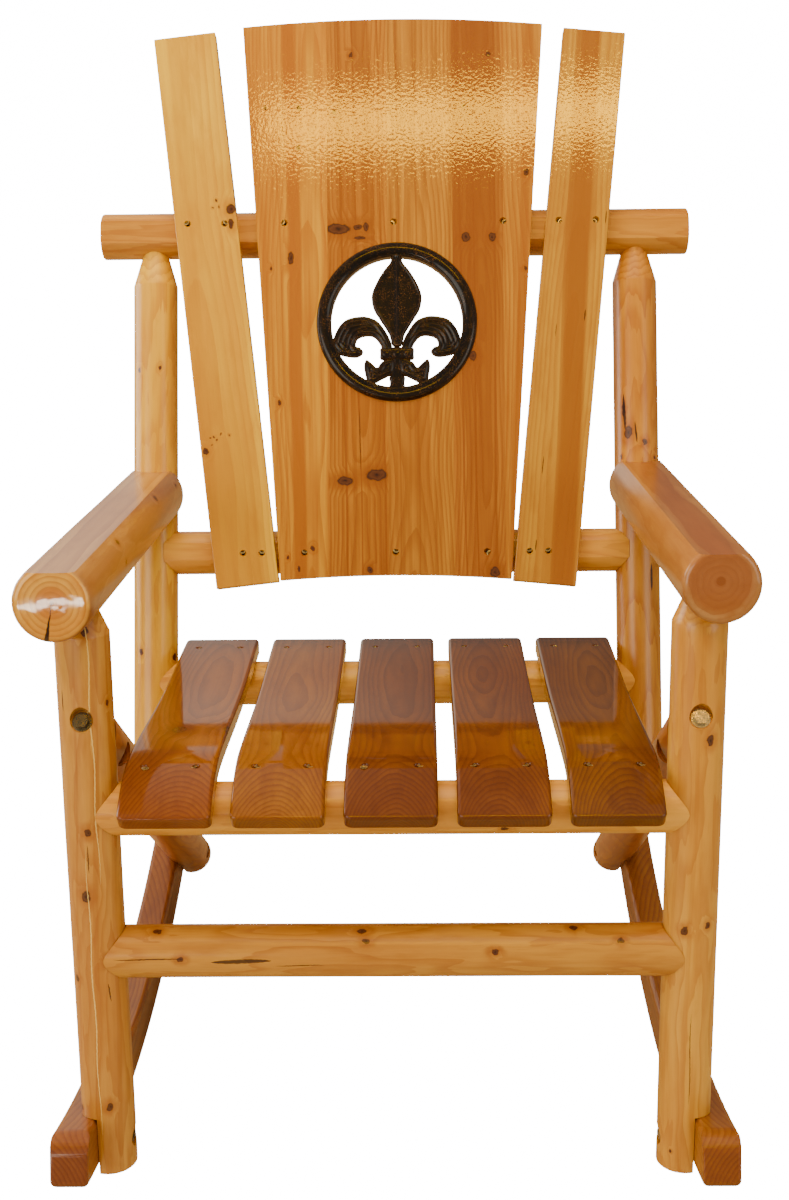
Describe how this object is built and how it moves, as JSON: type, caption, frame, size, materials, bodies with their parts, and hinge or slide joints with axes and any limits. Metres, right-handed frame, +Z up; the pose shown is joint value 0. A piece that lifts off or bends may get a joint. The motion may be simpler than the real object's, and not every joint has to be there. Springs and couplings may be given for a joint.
{
  "type": "log rocking chair",
  "caption": "Single-seat rocking chair of peeled round logs with log armrests, a curved slatted seat, a fanned board back with a lily ring, and curved board rockers.",
  "frame": {"origin": "on the floor, at the middle of the chair's footprint, with the empty chair at rest on its rockers", "axes": "+Z up, -Y towards the front of the chair (the way a seated person faces), +X to the right as seen from in front"},
  "size_m": [0.708, 0.8676, 1.1192],
  "materials": {
    "log": "peeled pine log, honey coloured, glossy clear varnish",
    "leg_log": "peeled pine log, darker honey, glossy clear varnish",
    "rail_log": "peeled pine log, honey coloured, glossy clear varnish",
    "arm_log": "peeled pine log with ringed end grain, glossy clear varnish",
    "rocker_wood": "sawn pine board, reddish brown, satin varnish",
    "slat_wood": "flat-sawn pine, red-brown, glossy clear varnish",
    "board_light": "flat-sawn pine, light honey, glossy clear varnish",
    "board_dark": "pine heartwood, brown, glossy clear varnish",
    "splat_wood": "flat-sawn pine, honey coloured, glossy clear varnish",
    "medallion_iron": "cast, dark antique bronze enamel, glossy",
    "screw_brass": "yellow zinc, slightly dulled",
    "zinc": "yellow zinc plated"
  },
  "bodies": {
    "root": {"front_post_left": "log", "front_post_right": "log", "back_post_left": "log", "back_post_right": "log", "rear_leg_left": "leg_log", "rear_leg_right": "leg_log", "rocker_left": "rocker_wood", "rocker_right": "rocker_wood", "armrest_left": "arm_log", "armrest_right": "arm_log", "seat_front_rail": "rail_log", "seat_rear_rail": "rail_log", "front_stretcher": "rail_log", "lower_back_rail": "rail_log", "top_back_rail": "rail_log", "seat_slat_1": "slat_wood", "seat_slat_2": "slat_wood", "seat_slat_3": "slat_wood", "seat_slat_4": "slat_wood", "seat_slat_5": "slat_wood", "back_splat_left": "splat_wood", "back_splat_right": "splat_wood", "back_board_1": "board_light", "back_board_3_upper": "board_light", "back_board_3_lower": "board_light", "back_board_5": "board_light", "back_board_2_upper": "board_dark", "back_board_2_lower": "board_dark", "back_board_4": "board_dark", "lily_medallion": "medallion_iron", "slat_screws": "screw_brass", "back_screws": "screw_brass", "leg_bolts": "zinc", "leg_washers": "zinc", "leg_nuts": "zinc", "rocker_bolts": "zinc", "rocker_washers": "zinc", "rocker_nuts": "zinc", "lag_screws": "zinc", "lag_washers": "zinc"}
  },
  "joints": []
}
